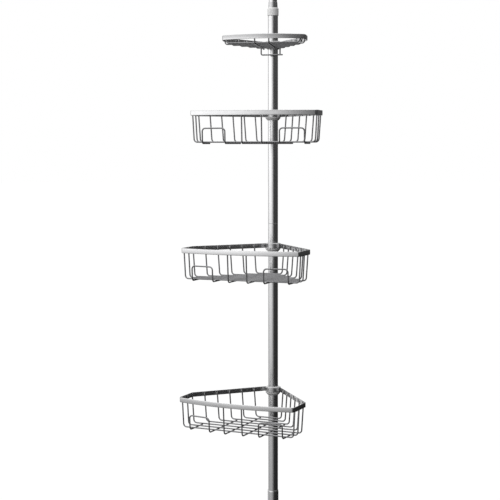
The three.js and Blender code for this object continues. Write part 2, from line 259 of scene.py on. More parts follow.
def new_group(name, inputs, outputs):
    """An empty shader node group with its two ends: (group, input node, output node)."""
    group = bpy.data.node_groups.new(name, "ShaderNodeTree")
    for label, kind, default in inputs:
        socket = group.interface.new_socket(label, in_out="INPUT", socket_type=kind)
        socket.default_value = default
    for label, kind in outputs:
        group.interface.new_socket(label, in_out="OUTPUT", socket_type=kind)
    return group, group.nodes.new("NodeGroupInput"), group.nodes.new("NodeGroupOutput")


def brushing_group():
    """Fine lines left by a polishing belt, as a height and as a mask of the roughness."""
    group, start, end = new_group(
        "Brushing",
        [
            ("Vector", "NodeSocketVector", (0, 0, 0)),
            ("Stretch", "NodeSocketVector", (30, 30, 2600)),
            ("Roughness", "NodeSocketFloat", 0.25),
            ("Spread", "NodeSocketFloat", 0.08),
        ],
        [("Height", "NodeSocketFloat"), ("Roughness", "NodeSocketFloat")],
    )
    link = group.links.new
    stretched = add_node(group, "ShaderNodeVectorMath", operation="MULTIPLY")
    link(start.outputs["Vector"], stretched.inputs[0])
    link(start.outputs["Stretch"], stretched.inputs[1])
    lines = add_node(group, "ShaderNodeTexNoise", Scale=1.0, Detail=3.0, Roughness=0.6)
    link(stretched.outputs[0], lines.inputs["Vector"])
    smudge = add_node(group, "ShaderNodeTexNoise", Scale=28.0, Detail=4.0, Roughness=0.55)
    link(start.outputs["Vector"], smudge.inputs["Vector"])
    both = add_node(group, "ShaderNodeMath", operation="ADD")
    link(lines.outputs["Fac"], both.inputs[0])
    link(smudge.outputs["Fac"], both.inputs[1])
    centred = add_node(group, "ShaderNodeMath", operation="SUBTRACT")
    link(both.outputs[0], centred.inputs[0])
    centred.inputs[1].default_value = 1.0
    spread = add_node(group, "ShaderNodeMath", operation="MULTIPLY_ADD")
    link(centred.outputs[0], spread.inputs[0])
    link(start.outputs["Spread"], spread.inputs[1])
    link(start.outputs["Roughness"], spread.inputs[2])
    link(lines.outputs["Fac"], end.inputs["Height"])
    link(spread.outputs[0], end.inputs["Roughness"])
    return group


def grain_group():
    """The fine skin of a moulded part, as a height, with a slow drift of its colour."""
    group, start, end = new_group(
        "Moulded grain",
        [
            ("Vector", "NodeSocketVector", (0, 0, 0)),
            ("Colour", "NodeSocketColor", (0.5, 0.5, 0.5, 1)),
            ("Worn", "NodeSocketColor", (0.6, 0.6, 0.6, 1)),
            ("Grain", "NodeSocketFloat", 2200.0),
        ],
        [
            ("Height", "NodeSocketFloat"),
            ("Colour", "NodeSocketColor"),
            ("Roughness", "NodeSocketFloat"),
        ],
    )
    link = group.links.new
    skin = add_node(group, "ShaderNodeTexNoise", Detail=2.0, Roughness=0.5)
    link(start.outputs["Vector"], skin.inputs["Vector"])
    link(start.outputs["Grain"], skin.inputs["Scale"])
    drift = add_node(group, "ShaderNodeTexNoise", Scale=45.0, Detail=5.0, Roughness=0.6)
    link(start.outputs["Vector"], drift.inputs["Vector"])
    share = add_node(group, "ShaderNodeMapRange", From_Min=0.4, From_Max=0.75, To_Min=0.0, To_Max=0.5)
    link(drift.outputs["Fac"], share.inputs["Value"])
    mixed = add_node(group, "ShaderNodeMix", data_type="RGBA")
    link(share.outputs[0], mixed.inputs["Factor"])
    link(start.outputs["Colour"], mixed.inputs["A"])
    link(start.outputs["Worn"], mixed.inputs["B"])
    rough = add_node(group, "ShaderNodeMapRange", From_Min=0.3, From_Max=0.7, To_Min=0.42, To_Max=0.62)
    link(drift.outputs["Fac"], rough.inputs["Value"])
    link(skin.outputs["Fac"], end.inputs["Height"])
    link(mixed.outputs["Result"], end.inputs["Colour"])
    link(rough.outputs[0], end.inputs["Roughness"])
    return group


def shared_group(name):
    """A node group by name, built the first time that it is asked for."""
    makers = {"Brushing": brushing_group, "Moulded grain": grain_group}
    return bpy.data.node_groups.get(name) or makers[name]()


def start_material(name, group_name):
    """A material with Object coordinates fed to a shared group: (material, group node, shader)."""
    material = bpy.data.materials.new(name)
    material.use_nodes = True
    tree = material.node_tree
    shader = tree.nodes["Principled BSDF"]
    group = tree.nodes.new("ShaderNodeGroup")
    group.node_tree = shared_group(group_name)
    place = tree.nodes.new("ShaderNodeTexCoord")
    tree.links.new(place.outputs["Object"], group.inputs["Vector"])
    return material, group, shader


def add_bump(material, height, shader, strength, distance):
    """Feeds a height to the shader's normal."""
    tree = material.node_tree
    bump = add_node(tree, "ShaderNodeBump", Strength=strength, Distance=distance)
    tree.links.new(height, bump.inputs["Height"])
    tree.links.new(bump.outputs["Normal"], shader.inputs["Normal"])


def steel_material(name, colour, roughness, stretch, bump, spread):
    """Satin steel with fine lines across the axis that its stretch is largest on."""
    found = bpy.data.materials.get(name)
    if found:
        return found
    material, lines, shader = start_material(name, "Brushing")
    lines.inputs["Stretch"].default_value = stretch
    lines.inputs["Roughness"].default_value = roughness
    lines.inputs["Spread"].default_value = spread
    shader.inputs["Base Color"].default_value = (*colour, 1)
    shader.inputs["Metallic"].default_value = 1.0
    material.node_tree.links.new(lines.outputs["Roughness"], shader.inputs["Roughness"])
    add_bump(material, lines.outputs["Height"], shader, bump, BRUSH_DEPTH)
    return material


def moulded_material(name, colour, lift, grain, bump):
    """Matte plastic or rubber with a fine grain, rubbed a little paler in places."""
    found = bpy.data.materials.get(name)
    if found:
        return found
    material, skin, shader = start_material(name, "Moulded grain")
    skin.inputs["Colour"].default_value = (*colour, 1)
    skin.inputs["Worn"].default_value = (*(min(1, part * lift) for part in colour), 1)
    skin.inputs["Grain"].default_value = grain
    tree = material.node_tree
    tree.links.new(skin.outputs["Colour"], shader.inputs["Base Color"])
    tree.links.new(skin.outputs["Roughness"], shader.inputs["Roughness"])
    add_bump(material, skin.outputs["Height"], shader, bump, GRAIN_DEPTH)
    return material


def tube_steel():
    """Brushed round the tube."""
    finishes = bpy.context.scene.caddy_finishes
    gloss = finishes.tube_gloss
    return steel_material("Tube steel", finishes.steel, gloss, (40, 40, 3200), 0.25, 0.08)


def rim_steel():
    """Brushed along the strip."""
    finishes = bpy.context.scene.caddy_finishes
    gloss = finishes.tube_gloss
    return steel_material("Rim steel", finishes.strip, gloss, (60, 60, 2400), 0.3, 0.12)


def wire_steel():
    """Drawn wire, tumbled bright after welding."""
    finishes = bpy.context.scene.caddy_finishes
    gloss = finishes.wire_gloss
    return steel_material("Wire steel", finishes.wire, gloss, (900, 900, 900), 0.2, 0.1)


def spring_steel():
    """Oiled spring wire."""
    return steel_material("Spring steel", (0.3, 0.3, 0.31), 0.38, (700, 700, 700), 0.3, 0.14)


def grey_plastic():
    """Clamps, the collar's shell, the plunger's bush and the ceiling cup."""
    colour = bpy.context.scene.caddy_finishes.plastic
    return moulded_material("Grey plastic", colour, 1.12, 2600, 0.25)


def dark_plastic():
    """Plugs, the collet and the spring's seat."""
    colour = bpy.context.scene.caddy_finishes.dark
    return moulded_material("Dark plastic", colour, 1.5, 2600, 0.25)


def rubber():
    """The two pads."""
    colour = bpy.context.scene.caddy_finishes.rubber
    return moulded_material("Pad rubber", colour, 1.9, 1400, 0.5)


# ---- shaping ------------------------------------------------------------------------------------
def push(bm, loop, step):
    """Extrudes a loop of edges along a step and returns the new loop."""
    made = bmesh.ops.extrude_edge_only(bm, edges=loop)["geom"]
    verts = [item for item in made if isinstance(item, bmesh.types.BMVert)]
    bmesh.ops.translate(bm, vec=step, verts=verts)
    new = set(verts)
    return [e for e in made if isinstance(e, bmesh.types.BMEdge) and set(e.verts) <= new]


def swing(bm, loop, centre, axis, angle, steps):
    """Spins a loop of edges about an axis and returns the last loop."""
    verts = list({vert for edge in loop for vert in edge.verts})
    made = bmesh.ops.spin(bm, geom=verts + loop, cent=centre, axis=axis, angle=angle, steps=steps)
    return [item for item in made["geom_last"] if isinstance(item, bmesh.types.BMEdge)]


def close_end(bm, loop, edge=0.0):
    """Fills a bar's end and rounds its rim."""
    bmesh.ops.edgeloop_fill(bm, edges=loop)
    if edge:
        bmesh.ops.bevel(
            bm, geom=loop, offset=edge, segments=2, profile=0.5, affect="EDGES", material=-1
        )


def round_section(bm, place, heading, radius, sides=WIRE_SIDES):
    """A circle of edges square to a heading."""
    matrix = Matrix.Translation(place) @ heading.to_track_quat("Z", "Y").to_matrix().to_4x4()
    made = bmesh.ops.create_circle(bm, segments=sides, radius=radius, matrix=matrix)["verts"]
    return list({edge for vert in made for edge in vert.link_edges})


def bar_moves(points, radii):
    """Straight runs and bends along points, with a bend of each inner point's radius."""
    moves = []
    here = points[0]
    for i in range(1, len(points) - 1):
        corner = points[i]
        back = (points[i - 1] - corner).normalized()
        on = (points[i + 1] - corner).normalized()
        half = back.angle(on) / 2
        reach = radii[i - 1] / math.tan(half)
        centre = corner + (back + on).normalized() * radii[i - 1] / math.sin(half)
        moves.append(("push", corner + back * reach - here))
        moves.append(("swing", centre, on.cross(back), math.pi - 2 * half, BEND_STEPS))
        here = corner + on * reach
    moves.append(("push", points[-1] - here))
    return moves


def draw(bm, loop, moves, edge=0.0):
    """Draws a section along its moves and closes both ends."""
    first = list(loop)
    for kind, *values in moves:
        loop = push(bm, loop, *values) if kind == "push" else swing(bm, loop, *values)
    close_end(bm, first, edge)
    close_end(bm, loop, edge)


def draw_wire(bm, points, radii=()):
    """A round wire along points, bent at each inner one."""
    radius = bpy.context.scene.caddy_sizes.wire
    loop = round_section(bm, points[0], points[1] - points[0], radius)
    draw(bm, loop, bar_moves(points, radii), radius * WIRE_END)


def add_weld(bm, place, along, size):
    """A flat nugget where two wires cross or a wire meets a strip."""
    matrix = Matrix.Translation(place) @ along.to_track_quat("Z", "Y").to_matrix().to_4x4()
    matrix @= Matrix.Diagonal((1.0, 1.0, NUGGET_FLAT, 1.0))
    bmesh.ops.create_icosphere(bm, subdivisions=2, radius=size, matrix=matrix)


def add_head(bm, place, strip):
    """The flattened patch where a wire is welded to a strip."""
    size = bpy.context.scene.caddy_sizes.wire * HEAD_WIDTH
    stretch = strip / 2 / size * HEAD_HEIGHT
    matrix = Matrix.Translation(place) @ Matrix.Diagonal((1.0, 1.0, stretch, 1.0))
    bmesh.ops.create_icosphere(bm, subdivisions=2, radius=size, matrix=matrix)


def turned(profile, edge, steps=ROUND_STEPS, angle=FULL_TURN, begin=0.0):
    """A solid turned about Z from a closed outline of (radius, height) points, its edges rounded."""
    bm = bmesh.new()
    verts = [bm.verts.new((r * math.cos(begin), r * math.sin(begin), z)) for r, z in profile]
    whole = math.isclose(angle, FULL_TURN)
    face = bm.faces.new(verts)
    geom = [face, *face.edges, *verts]
    if whole:
        bm.faces.remove(face)
        geom = geom[1:]
    bmesh.ops.spin(
        bm, geom=geom, cent=(0, 0, 0), axis=Z, angle=angle, steps=steps, use_merge=whole
    )
    bmesh.ops.remove_doubles(bm, verts=bm.verts, dist=1e-6)
    soften(bm, edge)
    return bm


def soften(bm, edge, limit=SHARP_ANGLE):
    """Rounds every edge where two faces meet sharply."""
    bmesh.ops.recalc_face_normals(bm, faces=bm.faces)
    sharp = [e for e in bm.edges if e.is_manifold and e.calc_face_angle() > limit]
    bmesh.ops.bevel(
        bm, geom=sharp, offset=edge, segments=3, profile=0.5, affect="EDGES", material=-1
    )


def sleeve(inner, outer, bottom, top, edge):
    """A tube on the Z axis."""
    return turned([(inner, bottom), (outer, bottom), (outer, top), (inner, top)], edge)


def finish_piece(bm, name, material, body, slot, *nodes):
    """Turns a bmesh into a piece that rides on a body and stands for CAD nodes."""
    bmesh.ops.recalc_face_normals(bm, faces=bm.faces)
    for face in bm.faces:
        face.smooth = True
    for edge in bm.edges:
        edge.smooth = not edge.is_manifold or edge.calc_face_angle() < SHARP_ANGLE
    mesh = bpy.data.meshes.new(name)
    bm.to_mesh(mesh)
    bm.free()
    mesh.materials.append(material)
    piece = bpy.data.objects.new(name, mesh)
    bpy.context.scene.collection.objects.link(piece)
    evened = piece.modifiers.new("Even shading", "WEIGHTED_NORMAL")
    evened.keep_sharp = True
    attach(piece, body)
    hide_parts(*nodes)
    return piece


def span(node):
    """A node on the pole's axis as (outer radius, lowest z, highest z)."""
    low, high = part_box(node)
    return high.x, low.z, high.z


# ---- shelves ------------------------------------------------------------------------------------
class Shelf:
    """A shelf's plan. Reach runs from the pole's axis to the front (-Y), side runs along X."""

    def __init__(self, name):
        self.name = name
        self.plan = DISH if name == "soap_dish" else BASKET
        low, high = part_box(f"{name}_hub")
        self.top = high.z
        self.strip = high.z - low.z
        plan = self.plan
        self.depth = plan["depth"]
        self.slope = math.atan((plan["half_width"] - plan["rail_start"]) / plan["wall_reach"])
        self.arc = (plan["half_width"] ** 2 + plan["bow"] ** 2) / (2 * plan["bow"])
        self.arc_reach = plan["front_reach"] + plan["bow"] - self.arc
        sizes = bpy.context.scene.caddy_sizes
        self.wire = sizes.wire
        self.inset = sizes.strip + sizes.wire - sizes.sink
        self.crossing = 2 * sizes.wire - sizes.sink
        self.under = sizes.wire - self.depth
        self.floor = self.under + self.crossing

    def hub_matrix(self):
        """From the shelf's own frame, which has the rim's top edge at zero, to the object's."""
        turn = math.radians(SHELF_TURNS[self.name])
        return Matrix.Translation((0, 0, self.top)) @ Matrix.Rotation(turn, 4, "Z")

    def tray_matrix(self):
        """The same for the rim and wires, which stand a little out of level on the dish."""
        return self.hub_matrix() @ Matrix.Rotation(-self.plan["tilt"], 4, "X")

    def front(self, side, inset):
        """Reach of the bowed front at a side, moved in by an inset."""
        return self.arc_reach + math.sqrt((self.arc - inset) ** 2 - side**2)

    def eased(self, reach, corner, turn):
        """How far a rounded corner lies inside the sharp one at a reach."""
        length = self.plan["corner"] * math.tan(turn / 2)
        fall = self.plan["corner"] * (1 / math.cos(turn / 2) - 1)
        return fall * max(0.0, 1 - abs(reach - corner) / length)

    def side(self, reach, inset):
        """Half the width at a reach, moved in by an inset."""
        plan = self.plan
        rail = plan["rail_start"] + math.tan(self.slope) * reach - inset / math.cos(self.slope)
        bowed = math.sqrt(max((self.arc - inset) ** 2 - (reach - self.arc_reach) ** 2, 0))
        front_turn = math.pi / 2 - math.asin(plan["half_width"] / self.arc)
        sharp = min(rail, plan["half_width"] - inset, bowed)
        sharp -= self.eased(reach, plan["wall_reach"], self.slope)
        return sharp - self.eased(reach, plan["front_reach"], front_turn)

    def cross_reaches(self):
        """The reach of every cross wire."""
        plan = self.plan
        return [plan["first_wire"] + k * plan["wire_pitch"] for k in range(plan["wire_count"])]

    def crossings(self, side):
        """The reach of every cross wire that passes over a wire at a side, from the pole out."""
        inset = self.inset + self.plan["wall_taper"]
        least = abs(side) + CROSS_PAST
        return [reach for reach in self.cross_reaches() if self.side(reach, inset) > least]

    def back_end(self, side):
        """Where a wire that runs back ends, just past the last cross wire above it."""
        return self.crossings(side)[0] - 2 * self.wire


def at(reach, side, height):
    """A point from its reach, side and height."""
    return Vector((side, -reach, height))


def all_shelves():
    """Every shelf, from the top down."""
    return [Shelf(name) for name in SHELF_TURNS]


def strip_section(bm, place, heading, thickness, height):
    """The flat bar's section, on edge and square to a heading, its faces a little crowned."""
    across = heading.cross(Z).normalized()
    verts = []
    for face in (1, -1):
        for i in range(CROWN_STEPS + 1):
            rise = face * (1 - 2 * i / CROWN_STEPS)
            reach = face * (thickness / 2 - STRIP_CROWN * rise**2)
            verts.append(bm.verts.new(place + across * reach + Z * rise * height / 2))
    return [bm.edges.new((vert, verts[(i + 1) % len(verts)])) for i, vert in enumerate(verts)]


def draw_rim(shelf):
    """The flat bar bent round from one side of the hub to the other."""
    sizes = bpy.context.scene.caddy_sizes
    plan = shelf.plan
    middle = sizes.strip / 2
    level = -shelf.strip / 2
    heading = at(math.cos(shelf.slope), math.sin(shelf.slope), 0)
    outward = at(-math.sin(shelf.slope), math.cos(shelf.slope), 0)
    clear = plan["rail_start"] * math.cos(shelf.slope) - middle
    on_hub = math.sqrt((HUB_RADIUS - sizes.sink) ** 2 - clear**2)
    start = outward * clear + heading * on_hub + Z * level
    corner = plan["corner"]
    flank = plan["half_width"] - corner
    wall_centre = at(plan["wall_reach"] - corner * math.tan(shelf.slope / 2), flank, level)
    wall_in = wall_centre + outward * (corner - middle)
    inner_arc = shelf.arc - corner
    front_centre = at(shelf.arc_reach + math.sqrt(inner_arc**2 - flank**2), flank, level)
    half_bow = math.asin(flank / inner_arc)
    side_run = at(wall_centre.y - front_centre.y, 0, 0)
    mirror = Matrix.Diagonal((-1, 1, 1))
    fillet = math.pi / 2 - half_bow
    moves = [
        ("push", wall_in - start),
        ("swing", wall_centre, -Z, shelf.slope, WALL_STEPS),
        ("push", side_run),
        ("swing", front_centre, -Z, fillet, CORNER_STEPS),
        ("swing", at(shelf.arc_reach, 0, level), -Z, 2 * half_bow, FRONT_STEPS),
        ("swing", mirror @ front_centre, -Z, fillet, CORNER_STEPS),
        ("push", -side_run),
        ("swing", mirror @ wall_centre, -Z, shelf.slope, WALL_STEPS),
        ("push", mirror @ (start - wall_in)),
    ]
    bm = bmesh.new()
    loop = strip_section(bm, start, heading, sizes.strip, shelf.strip)
    draw(bm, loop, moves)
    soften(bm, sizes.strip_edge, STRIP_SHARP_ANGLE)
    for side in (1, -1):
        for height in HUB_WELDS:
            place = Vector((side * start.x, start.y, -shelf.strip * height))
            add_weld(bm, place, Z, sizes.weld * 0.8)
        for reach in shelf.cross_reaches():
            add_head(bm, at(reach, side * shelf.side(reach, shelf.inset), level), shelf.strip)
    return bm


def draw_cross_wires(bm, shelf):
    """Wires bent to a U: down one wall, over the floor and up the other."""
    plan = shelf.plan
    for reach in shelf.cross_reaches():
        head = shelf.side(reach, shelf.inset)
        foot = shelf.side(reach, shelf.inset + plan["wall_taper"])
        points = [
            at(reach, head, WIRE_TOP),
            at(reach, foot, shelf.floor),
            at(reach, -foot, shelf.floor),
            at(reach, -head, WIRE_TOP),
        ]
        draw_wire(bm, points, (plan["bend"], plan["bend"]))


def draw_front_wires(bm, shelf):
    """Wires that come down inside the front and run back under the floor."""
    plan = shelf.plan
    for side in (plan["front_wire"], -plan["front_wire"]):
        head = shelf.front(side, shelf.inset)
        points = [
            at(head, side, WIRE_TOP),
            at(head - plan["front_taper"], side, shelf.under),
            at(shelf.back_end(side), side, shelf.under),
        ]
        draw_wire(bm, points, (plan["bend"],))


def weld_crossings(bm, shelf, sides):
    """Nuggets where wires that run back pass under the cross wires."""
    size = bpy.context.scene.caddy_sizes.weld
    level = (shelf.under + shelf.floor) / 2
    inset = shelf.inset + shelf.plan["wall_taper"]
    for side in sides:
        for reach in shelf.crossings(side):
            if reach < shelf.front(side, inset) - FRONT_CLEAR:
                add_weld(bm, at(reach, side, level), Z, size)


def draw_guard(shelf, sign):
    """A low hoop inside the front, with legs that run back under the floor."""
    plan = shelf.plan
    near, far, height = plan["guard"]
    crown = shelf.under + height
    rise = plan["front_taper"] * height / shelf.depth

    def leg(side):
        foot = shelf.front(side, shelf.inset) - plan["front_taper"]
        return [
            at(shelf.back_end(side), side, shelf.under),
            at(foot, side, shelf.under),
            at(foot + rise, side, crown),
        ]

    bm = bmesh.new()
    draw_wire(bm, leg(sign * near) + leg(sign * far)[::-1], [plan["bend"]] * 4)
    weld_crossings(bm, shelf, (sign * near, sign * far))
    return bm


def draw_hanger(shelf):
    """The loop hung from the dish's rearmost wire, with its turned-out tail."""
    reach = shelf.plan["first_wire"]
    top = shelf.floor - shelf.wire
    low = shelf.under - HANGER_DROP
    bm = bmesh.new()
    end = at(reach, HANGER_HALF + HANGER_TAIL, low)
    bar = [at(reach, -HANGER_HALF, top), at(reach, -HANGER_HALF, low), end]
    draw_wire(bm, bar, (HANGER_BEND,))
    draw_wire(bm, [at(reach, HANGER_HALF, top), at(reach, HANGER_HALF, low)])
    size = bpy.context.scene.caddy_sizes.weld
    for side, level in ((-HANGER_HALF, top), (HANGER_HALF, top), (HANGER_HALF, low)):
        add_weld(bm, at(reach, side, level), Z, size * 1.2)
    return bm


def clamp_profile(shelf):
    """Outline of a clamp: a sleeve in the hub, a ledge under it and a taper to the pole."""
    low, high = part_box(f"{shelf.name}_clamp_front")
    bore = span("lower_tube")[0] + GAP
    ledge = -shelf.strip - GAP
    bottom = low.z - shelf.top
    top = high.z - shelf.top
    flank = HUB_RADIUS - HUB_WALL - GAP
    return [
        (bore, bottom),
        (bore + 0.0009, bottom),
        (HUB_RADIUS - 0.0012, ledge - 0.0032),
        (HUB_RADIUS - 0.0004, ledge - 0.0016),
        (HUB_RADIUS - 0.0004, ledge),
        (flank, ledge),
        (flank, top),
        (bore, top),
    ]


# ---- operators ----------------------------------------------------------------------------------
class CaddyOperator:
    """What every operator of this add-on shares."""

    bl_options = {"REGISTER", "UNDO"}


class CADDY_OT_stage(CaddyOperator, bpy.types.Operator):
    """Adds the floor, the studio light and the camera"""

    bl_idname = "caddy.stage"
    bl_label = "Stage"

    def execute(self, context):
        add_camera(context.scene)
        add_floor(context.scene)
        add_lights(context.scene)
        add_world(context.scene)
        context.scene.view_settings.view_transform = "Standard"
        return {"FINISHED"}


class CADDY_OT_tubes(CaddyOperator, bpy.types.Operator):
    """Adds the pole's outer tubes and the tube that slides in them"""

    bl_idname = "caddy.tubes"
    bl_label = "Pole tubes"

    def execute(self, context):
        bodies = {"lower_tube": "pole", "upper_tube": "pole", "inner_tube": "inner_pole"}
        for node, body in bodies.items():
            radius, bottom, top = span(node)
            bm = sleeve(radius - TUBE_WALL, radius, bottom, top, TUBE_EDGE)
            finish_piece(bm, f"{node}_steel", tube_steel(), body, "tube_steel", node)
        return {"FINISHED"}


class CADDY_OT_lock_collar(CaddyOperator, bpy.types.Operator):
    """Adds the collar that is twisted to lock the pole's length"""

    bl_idname = "caddy.lock_collar"
    bl_label = "Lock collar"

    def execute(self, context):
        radius, bottom, top = span("lock_collar")
        pole = span("lower_tube")[0] + GAP
        mouth = span("inner_tube")[0] + GAP
        shoulder = bottom + COLLAR_HEIGHT
        outline = [
            (pole, bottom),
            (radius - 0.0006, bottom),
            (radius, bottom + 0.0008),
            (radius, shoulder - 0.0034),
            (radius - 0.0003, shoulder - 0.0020),
            (radius - 0.0011, shoulder),
            (mouth + 0.0012, shoulder),
            (mouth + 0.0012, shoulder - 0.0016),
            (mouth, shoulder - 0.003),
            (pole, shoulder - 0.005),
        ]
        shell = turned(outline, TUBE_EDGE)
        finish_piece(
            shell, "lock_collar_shell", grey_plastic(), "lock_collar", "grey_plastic", "lock_collar"
        )
        outline = [
            (mouth, shoulder - 0.0014),
            (mouth + 0.0011, shoulder - 0.0014),
            (mouth + 0.0011, shoulder + 0.001),
            (mouth + 0.0005, top),
            (mouth, top),
        ]
        neck = turned(outline, FINE_EDGE)
        finish_piece(
            neck, "lock_collar_neck", tube_steel(), "lock_collar", "tube_steel", "lock_collar"
        )
        return {"FINISHED"}


def cup(seat, bore, lip, length, spread):
    """A socket for a tube's end that spreads to its pad, standing on zero."""
    return turned(
        [
            (0, 0),
            (spread, 0),
            (spread, 0.0036),
            (spread - 0.002, 0.0052),
            (spread - 0.006, 0.0078),
            (spread - 0.0095, 0.0108),
            (lip + 0.0025, 0.016),
            (lip + 0.0008, 0.020),
            (lip, 0.024),
            (lip, length - 0.005),
            (bore + 0.0005, length),
            (bore, length),
            (bore, seat),
            (0, seat),
        ],
        CUP_EDGE,
    )


def pad(radius, height):
    """A rubber pad: rings cut in the face that bears, which is at zero, and grooves round its edge."""
    outline = [(0, 0)]
    for ring in range(1, 4):
        middle = radius * (0.2 + 0.19 * ring)
        outline += [
            (middle - 0.0012, 0),
            (middle - 0.0006, 0.0009),
            (middle + 0.0006, 0.0009),
            (middle + 0.0012, 0),
        ]
    outline += [(radius - 0.001, 0), (radius, 0.0015)]
    for groove in (0.0032, 0.0052):
        outline += [
            (radius, groove - 0.0006),
            (radius - 0.0005, groove - 0.0002),
            (radius - 0.0005, groove + 0.0002),
            (radius, groove + 0.0006),
        ]
    outline += [(radius, height - 0.001), (radius - 0.001, height), (0, height)]
    return turned(outline, FINE_EDGE)


class CADDY_OT_pole_ends(CaddyOperator, bpy.types.Operator):
    """Adds the foot and the ceiling cup with their rubber pads"""

    bl_idname = "caddy.pole_ends"
    bl_label = "Pole ends"

    def execute(self, context):
        pole, pole_end, _ = span("lower_tube")
        spread, bottom, top = span("foot_socket")
        bm = cup(pole_end - bottom - GAP, pole + GAP, pole + 0.0014, top - bottom, spread)
        bmesh.ops.translate(bm, vec=Z * bottom, verts=bm.verts)
        finish_piece(bm, "foot_socket_shell", tube_steel(), "pole", "tube_steel", "foot_socket")
        radius, bottom, top = span("floor_pad")
        bm = pad(radius, top - bottom)
        finish_piece(bm, "floor_pad_rubber", rubber(), "pole", "rubber", "floor_pad")

        over = Matrix.Rotation(math.pi, 4, "X")
        seat = span("plunger")[2]
        spread, bottom, top = span("ceiling_cup")
        bore = PLUNGER_RADIUS + GAP
        bm = cup(top - seat - GAP, bore, PLUNGER_RADIUS + 0.003, top - bottom, spread)
        bmesh.ops.transform(bm, matrix=Matrix.Translation(Z * top) @ over, verts=bm.verts)
        finish_piece(
            bm, "ceiling_cup_shell", grey_plastic(), "ceiling_plunger", "grey_plastic", "ceiling_cup"
        )
        radius, bottom, top = span("ceiling_pad")
        bm = pad(radius, top - bottom)
        bmesh.ops.transform(bm, matrix=Matrix.Translation(Z * top) @ over, verts=bm.verts)
        finish_piece(
            bm, "ceiling_pad_rubber", rubber(), "ceiling_plunger", "rubber", "ceiling_pad"
        )
        return {"FINISHED"}


class CADDY_OT_tension(CaddyOperator, bpy.types.Operator):
    """Adds the plunger, its bush and the spring that presses it on the ceiling"""

    bl_idname = "caddy.tension"
    bl_label = "Tension spring and plunger"

    turns: bpy.props.IntProperty(name="Turns", description="Turns of the spring", default=8)

    def execute(self, context):
        flange, bottom, top = span("plunger")
        stem = PLUNGER_RADIUS
        step = bottom + PLUNGER_FLANGE
        outline = [(0, bottom), (flange, bottom), (flange, step), (stem, step), (stem, top), (0, top)]
        bm = turned(outline, HUB_EDGE)
        finish_piece(bm, "plunger_rod", tube_steel(), "ceiling_plunger", "tube_steel", "plunger")

        cap, bottom, top = span("plunger_bush")
        mouth = top - 0.0037
        outline = [
            (stem + GAP, bottom),
            (cap - 0.0012, bottom),
            (cap - 0.0012, mouth),
            (cap, mouth),
            (cap, top - 0.001),
            (cap - 0.001, top),
            (stem + GAP, top),
        ]
        bm = turned(outline, TUBE_EDGE)
        finish_piece(
            bm, "plunger_bush_ring", grey_plastic(), "inner_pole", "grey_plastic", "plunger_bush"
        )

        radius, bottom, top = span("tension_spring")
        wire = SPRING_WIRE
        bm = bmesh.new()
        start = Vector((radius - wire, 0, bottom + wire))
        loop = round_section(bm, start, Vector((0, 1, 0)), wire, SPRING_SIDES)
        steps = self.turns * SPRING_STEPS
        verts = list({vert for edge in loop for vert in edge.verts})
        made = bmesh.ops.spin(
            bm,
            geom=verts + loop,
            cent=(0, 0, 0),
            axis=Z,
            dvec=Z * (top - bottom - 2 * wire - SPRING_PLAY) / steps,
            angle=FULL_TURN * self.turns,
            steps=steps,
        )
        close_end(bm, loop)
        close_end(bm, [e for e in made["geom_last"] if isinstance(e, bmesh.types.BMEdge)])
        coil = finish_piece(
            bm, "tension_spring_coil", spring_steel(), "inner_pole", "spring_steel", "tension_spring"
        )
        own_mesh(coil)
        return {"FINISHED"}


class CADDY_OT_rims(CaddyOperator, bpy.types.Operator):
    """Adds every shelf's flat-bar rim and hub ring"""

    bl_idname = "caddy.rims"
    bl_label = "Rims and hubs"

    def execute(self, context):
        for shelf in all_shelves():
            bm = draw_rim(shelf)
            bmesh.ops.transform(bm, matrix=shelf.tray_matrix(), verts=bm.verts)
            node = f"{shelf.name}_rim"
            finish_piece(bm, f"{node}_strip", rim_steel(), shelf.name, "rim_steel", node)
            bottom = shelf.top - shelf.strip
            bm = sleeve(HUB_RADIUS - HUB_WALL, HUB_RADIUS, bottom, shelf.top, HUB_EDGE)
            node = f"{shelf.name}_hub"
            finish_piece(bm, f"{node}_ring", rim_steel(), shelf.name, "rim_steel", node)
        return {"FINISHED"}


class CADDY_OT_wires(CaddyOperator, bpy.types.Operator):
    """Adds every shelf's welded wire frame"""

    bl_idname = "caddy.wires"
    bl_label = "Wire frames"

    def execute(self, context):
        for shelf in all_shelves():
            bm = bmesh.new()
            draw_cross_wires(bm, shelf)
            draw_front_wires(bm, shelf)
            side = shelf.plan["front_wire"]
            weld_crossings(bm, shelf, (side, -side))
            bmesh.ops.transform(bm, matrix=shelf.tray_matrix(), verts=bm.verts)
            name = f"{shelf.name}_wire_frame"
            finish_piece(bm, name, wire_steel(), shelf.name, "wire_steel", f"{shelf.name}_wires")
        return {"FINISHED"}


class CADDY_OT_guards(CaddyOperator, bpy.types.Operator):
    """Adds the low hoops inside each basket's front and the loop under the dish"""

    bl_idname = "caddy.guards"
    bl_label = "Guards and hanging loop"

    def execute(self, context):
        for shelf in all_shelves():
            if shelf.plan["guard"]:
                drawn = {"guard_left": draw_guard(shelf, -1), "guard_right": draw_guard(shelf, 1)}
            else:
                drawn = {"hanger": draw_hanger(shelf)}
            for part, bm in drawn.items():
                bmesh.ops.transform(bm, matrix=shelf.tray_matrix(), verts=bm.verts)
                node = f"{shelf.name}_{part}"
                finish_piece(bm, f"{node}_wire", wire_steel(), shelf.name, "wire_steel", node)
        return {"FINISHED"}


